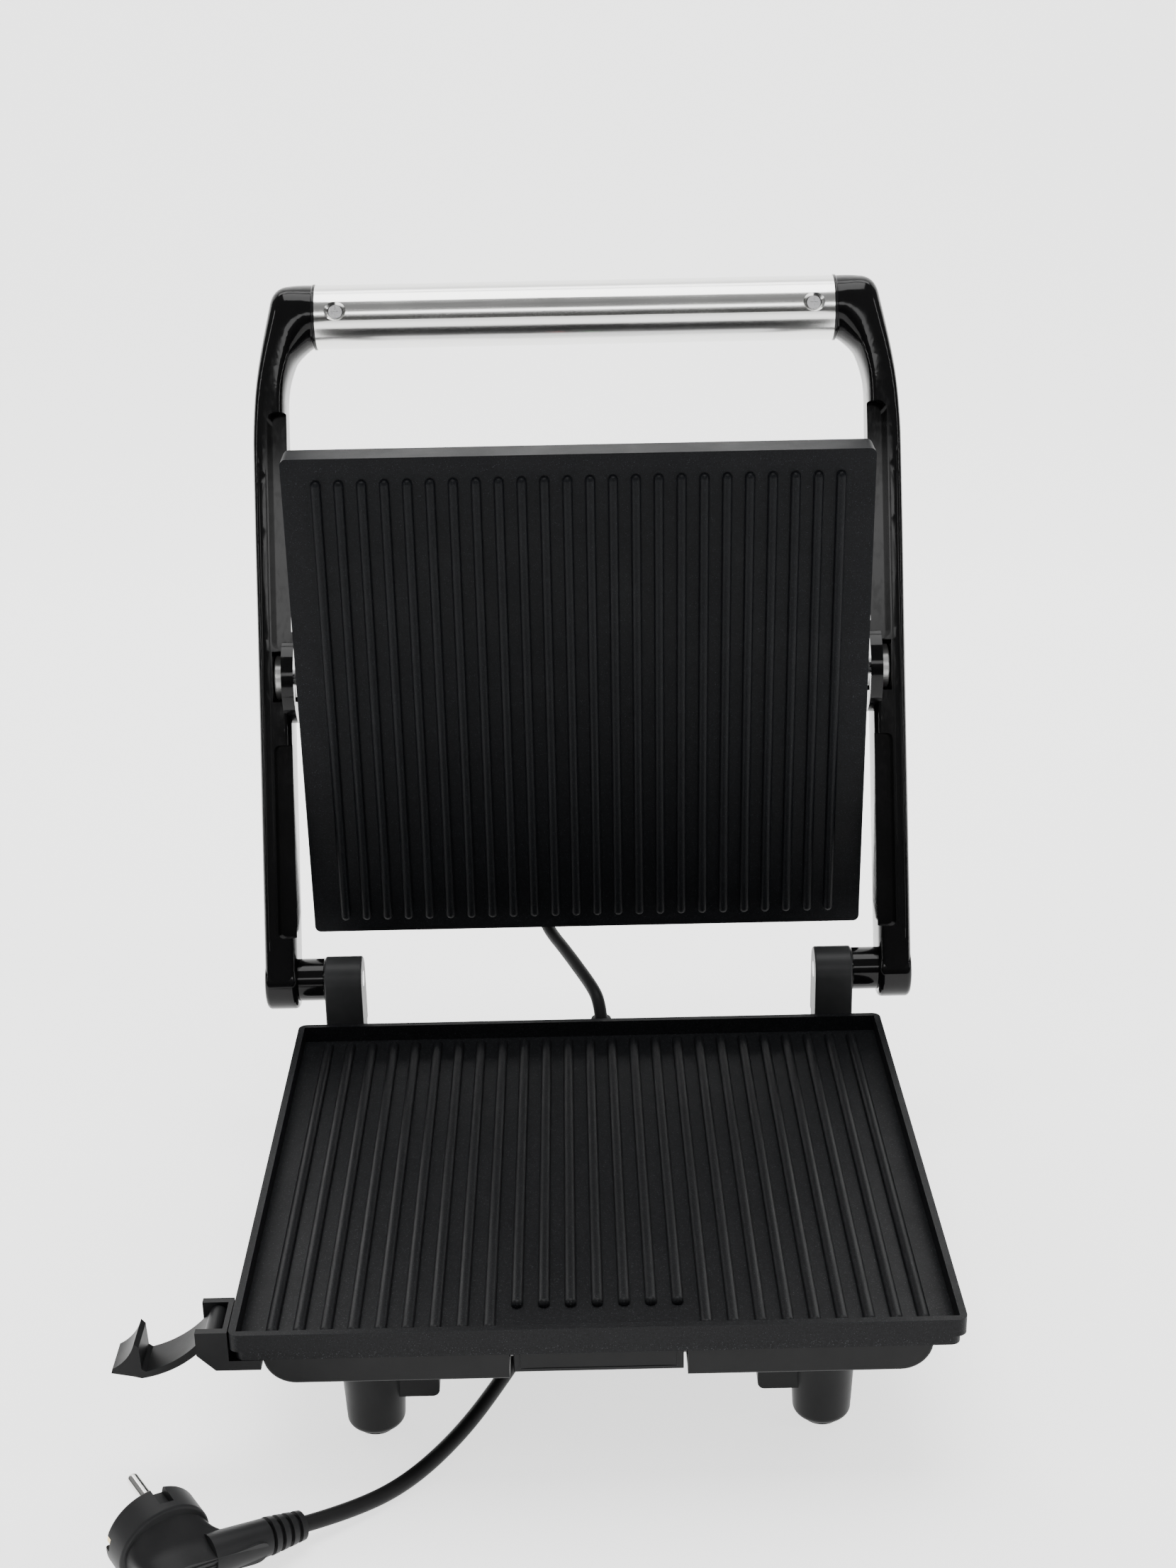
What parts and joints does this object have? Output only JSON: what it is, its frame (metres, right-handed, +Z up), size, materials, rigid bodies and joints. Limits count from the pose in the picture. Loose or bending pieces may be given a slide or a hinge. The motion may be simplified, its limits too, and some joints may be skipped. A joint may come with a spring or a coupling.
{
  "type": "panini press",
  "caption": "Contact grill press with a rimmed ribbed lower plate, a floating upper plate on an arched handle frame, a drip tray, a side latch and a mains plug.",
  "frame": {"origin": "on the worktop, below the centre of the lower grill plate", "axes": "+X to the user's right, +Y to the back, +Z up; the lid is stored open"},
  "size_m": [0.3542, 0.4819, 0.4208],
  "materials": {
    "plate_coating": "non-stick coating on cast aluminium, fine speckle",
    "satin_black": "fine-grained satin black moulding",
    "pad_rubber": "matt",
    "gloss_black": "polished black moulding",
    "collar_black": "polished",
    "tube_aluminium": "polished extruded tube",
    "hub_aluminium": "turned",
    "brushed_stainless": "brushed",
    "plated_steel": "zinc plated",
    "shield_steel": "bright sheet",
    "element_steel": "heat-dulled sheath",
    "terminal_ceramic": "unglazed",
    "red_lens": "translucent",
    "green_lens": "translucent",
    "cord_black": "satin flexible sheath",
    "plug_black": "fine-grained",
    "pin_nickel": "nickel plated",
    "clip_brass": "sprung strip"
  },
  "bodies": {
    "base": {"lower_grill_plate": "plate_coating", "base_housing": "satin_black", "bottom_cover": "satin_black", "base_screws": "plated_steel", "front_left_foot": "satin_black", "front_left_foot_pad": "pad_rubber", "front_right_foot": "satin_black", "front_right_foot_pad": "pad_rubber", "rear_left_foot": "satin_black", "rear_left_foot_pad": "pad_rubber", "rear_right_foot": "satin_black", "rear_right_foot_pad": "pad_rubber", "lower_heating_element": "element_steel", "lower_heat_shield": "shield_steel", "lower_thermostat": "plated_steel", "thermal_fuse": "plated_steel", "terminal_block": "terminal_ceramic", "hinge_tower_left": "satin_black", "hinge_tower_right": "satin_black", "latch_bracket": "satin_black", "latch_pin": "plated_steel", "cord_strain_relief": "cord_black", "lead_gland_base": "cord_black", "lid_lead_lower": "cord_black", "mains_cord": "cord_black", "plug_body": "plug_black", "plug_pins": "pin_nickel", "plug_earth_clips": "clip_brass", "plug_sleeve": "cord_black"},
    "drip_tray": {"drip_tray": "satin_black"},
    "latch": {"latch_lever": "satin_black"},
    "handle_frame": {"arm_left": "gloss_black", "arm_right": "gloss_black", "pivot_hub_left": "hub_aluminium", "pivot_hub_right": "hub_aluminium", "handle_collar_left": "collar_black", "handle_collar_right": "collar_black", "handle_core_left": "gloss_black", "handle_core_right": "gloss_black", "hinge_pin_left": "plated_steel", "hinge_pin_right": "plated_steel", "pivot_pin_left": "plated_steel", "pivot_pin_right": "plated_steel", "handle_screw_left": "plated_steel", "handle_screw_right": "plated_steel", "handle_tube": "tube_aluminium"},
    "upper_head": {"upper_grill_plate": "plate_coating", "upper_housing": "satin_black", "top_cover": "brushed_stainless", "upper_heating_element": "element_steel", "upper_heat_shield": "shield_steel", "upper_thermostat": "plated_steel", "power_lens": "red_lens", "ready_lens": "green_lens", "lead_gland_head": "cord_black", "lid_lead_upper": "cord_black"}
  },
  "joints": [
    {"name": "lid_hinge", "type": "hinge", "parent": "base", "child": "handle_frame", "pos_m": [0, 0.1455, 0.0935], "axis": [1, 0, 0], "range_deg": [0, 107.5], "deforming": ["lid_lead_lower", "lid_lead_upper"]},
    {"name": "head_float", "type": "hinge", "parent": "handle_frame", "child": "upper_head", "pos_m": [0, 0.19873, 0.23587], "axis": [1, 0, 0], "range_deg": [-21.1, 0], "deforming": ["lid_lead_upper"]},
    {"name": "latch_swing", "type": "hinge", "parent": "base", "child": "latch", "pos_m": [-0.1516, -0.116, 0.071], "axis": [0, 1, 0], "range_deg": [0, 84]},
    {"name": "tray_slide", "type": "slide", "parent": "base", "child": "drip_tray", "axis": [0, -1, 0], "range_m": [0, 0.075]}
  ],
  "couplings": [
    {"joint": "head_float", "follows": "lid_hinge", "ratio": -0.19535}
  ]
}
